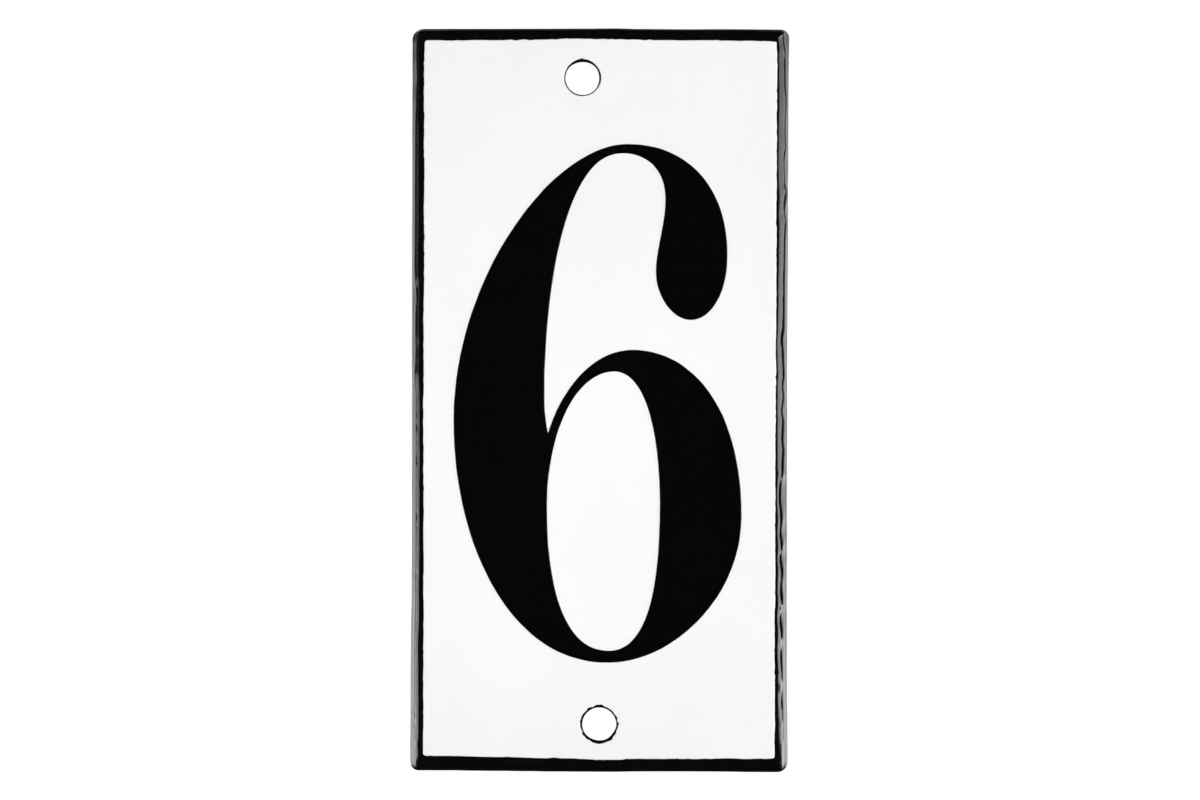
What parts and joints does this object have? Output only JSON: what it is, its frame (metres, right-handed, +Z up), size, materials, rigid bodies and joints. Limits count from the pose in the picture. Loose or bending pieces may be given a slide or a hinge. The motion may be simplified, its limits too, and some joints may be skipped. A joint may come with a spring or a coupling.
{
  "type": "house number sign",
  "caption": "House number sign: a small tray pressed from sheet steel under black and white enamel, with a black six between a screw hole above and one below.",
  "frame": {"origin": "on the wall, behind the middle of the sign, in the plane of the rim's lip", "axes": "+X to the right as the sign is read, +Z up the wall, -Y out of the front, +Y into the wall"},
  "size_m": [0.0504, 0.0043, 0.0998],
  "materials": {
    "black_ground_enamel": "gloss",
    "white_enamel": "gloss",
    "black_numeral_enamel": "gloss"
  },
  "bodies": {
    "root": {"plate": "black_ground_enamel", "face_coat": "white_enamel", "numeral": "black_numeral_enamel"}
  },
  "joints": []
}
